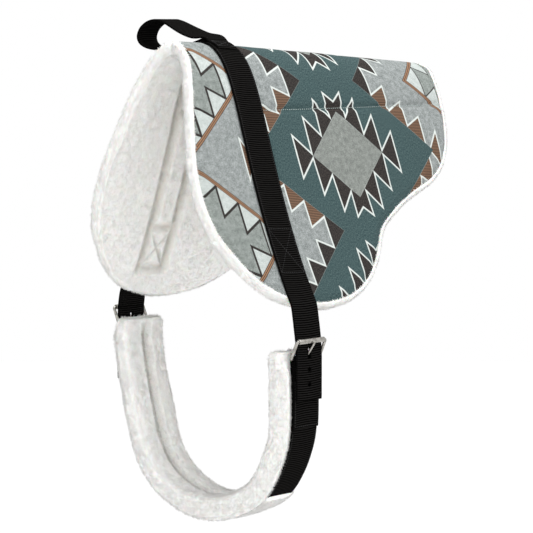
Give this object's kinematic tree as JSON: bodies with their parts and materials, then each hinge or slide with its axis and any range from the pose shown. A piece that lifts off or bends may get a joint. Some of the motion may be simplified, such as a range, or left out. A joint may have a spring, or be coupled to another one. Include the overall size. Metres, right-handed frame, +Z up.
{
  "type": "bareback pad",
  "caption": "Saddle-shaped quilted riding pad with a fleece underside, a webbing grab handle, and a fleece-lined girth hung from a sewn strap by roller buckles.",
  "frame": {"origin": "underside of the pad's crown, where it rests along the horse's spine, halfway along the pad's spine line between front and rear", "axes": "+X to the horse's tail, -Y to the horse's left (near side), +Z up"},
  "size_m": [0.5717, 0.3588, 0.6728],
  "materials": {
    "tapestry": "woven geometric tapestry in teal, heather grey, charcoal, brown and off-white, matte",
    "felt": "pressed felt, hidden",
    "fleece": "off-white deep pile fleece",
    "webbing": "black ribbed webbing with a slight sheen",
    "thread": "black sewing thread",
    "nickel": "bright nickel plate"
  },
  "bodies": {
    "pad": {"pad_cover": "tapestry", "pad_core": "felt", "pad_lining": "fleece", "pad_strap": "webbing", "near_box_stitching": "thread", "far_box_stitching": "thread", "handle_ends": "webbing", "handle_stitching": "thread"},
    "handle": {"handle_loop": "webbing"},
    "near_strap": {"near_strap": "webbing"},
    "far_strap": {"far_strap": "webbing"},
    "girth": {"girth_webbing": "webbing", "girth_fleece": "fleece", "girth_core": "felt", "near_strap_wrap": "webbing", "far_strap_wrap": "webbing", "near_buckle_frame": "nickel", "far_buckle_frame": "nickel"},
    "near_roller": {"near_buckle_roller": "nickel"},
    "far_roller": {"far_buckle_roller": "nickel"},
    "near_tongue": {"near_buckle_tongue": "nickel"},
    "far_tongue": {"far_buckle_tongue": "nickel"},
    "near_tail": {"near_tail": "webbing"},
    "far_tail": {"far_tail": "webbing"}
  },
  "joints": [
    {"name": "handle_swing", "type": "hinge", "parent": "pad", "child": "handle", "pos_m": [-0.188, 0, 0.03439], "axis": [1, 0, 0], "range_deg": [0, 150]},
    {"name": "near_strap_sway", "type": "hinge", "parent": "pad", "child": "near_strap", "pos_m": [-0.188, -0.16218, -0.31577], "axis": [1, 0, 0], "range_deg": [-6, 6]},
    {"name": "girth_level", "type": "hinge", "parent": "near_strap", "child": "girth", "pos_m": [-0.188, -0.16868, -0.36027], "axis": [1, 0, 0], "range_deg": [-6, 6]},
    {"name": "far_strap_sway", "type": "hinge", "parent": "pad", "child": "far_strap", "pos_m": [-0.188, 0.16218, -0.31577], "axis": [1, 0, 0], "range_deg": [-12, 12]},
    {"name": "near_roller_spin", "type": "hinge", "parent": "girth", "child": "near_roller", "pos_m": [-0.188, -0.17418, -0.36027], "axis": [1, 0, 0], "continuous": true},
    {"name": "far_roller_spin", "type": "hinge", "parent": "girth", "child": "far_roller", "pos_m": [-0.188, 0.17098, -0.33777], "axis": [1, 0, 0], "continuous": true},
    {"name": "near_tongue_lift", "type": "hinge", "parent": "girth", "child": "near_tongue", "pos_m": [-0.188, -0.16361, -0.38402], "axis": [1, 0, 0], "range_deg": [0, 20]},
    {"name": "far_tongue_lift", "type": "hinge", "parent": "girth", "child": "far_tongue", "pos_m": [-0.188, 0.16041, -0.36152], "axis": [-1, 0, 0], "range_deg": [0, 20]},
    {"name": "near_tail_lift", "type": "hinge", "parent": "girth", "child": "near_tail", "pos_m": [-0.188, -0.17121, -0.38772], "axis": [-1, 0, 0], "range_deg": [0, 70]},
    {"name": "far_tail_lift", "type": "hinge", "parent": "girth", "child": "far_tail", "pos_m": [-0.188, 0.16801, -0.36522], "axis": [1, 0, 0], "range_deg": [0, 70]}
  ],
  "couplings": [
    {"joint": "girth_level", "follows": "near_strap_sway", "ratio": -0.961},
    {"joint": "far_strap_sway", "follows": "near_strap_sway", "ratio": 1.99}
  ]
}
